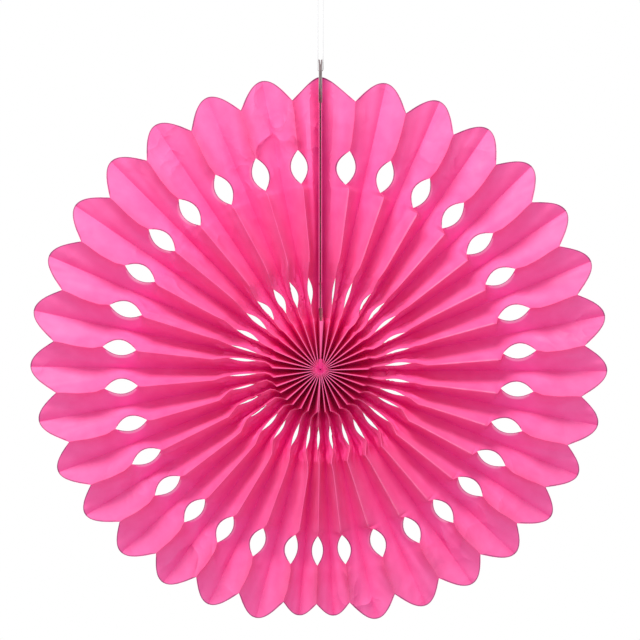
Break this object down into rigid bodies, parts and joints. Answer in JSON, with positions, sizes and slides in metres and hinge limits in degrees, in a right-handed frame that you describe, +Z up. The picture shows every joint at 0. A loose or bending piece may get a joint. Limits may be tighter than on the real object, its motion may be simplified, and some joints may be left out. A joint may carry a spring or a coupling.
{
  "type": "paper fan rosette",
  "caption": "Hanging tissue paper fan opened into a full pleated rosette, with scalloped petal ends, lens-shaped cut-outs, board end strips and a thread loop.",
  "frame": {"origin": "top of the thread loop, where it bears on the hook that the fan hangs from", "axes": "+Z up, the fan stands in the XZ plane and its front folds face -Y"},
  "size_m": [0.4002, 0.024, 0.4407],
  "materials": {
    "tissue": "smooth pink tissue, faintly glossy, light passes through it a little",
    "greyboard": "matt grey-brown pulp board with fibres at its cut edges",
    "tape": "thin cream double-sided tape",
    "thread": "white twisted thread"
  },
  "bodies": {
    "root": {"pleated_tissue_fan": "tissue", "left_end_strip": "greyboard", "right_end_strip": "greyboard", "joining_tape": "tape", "hanging_thread": "thread"}
  },
  "joints": []
}
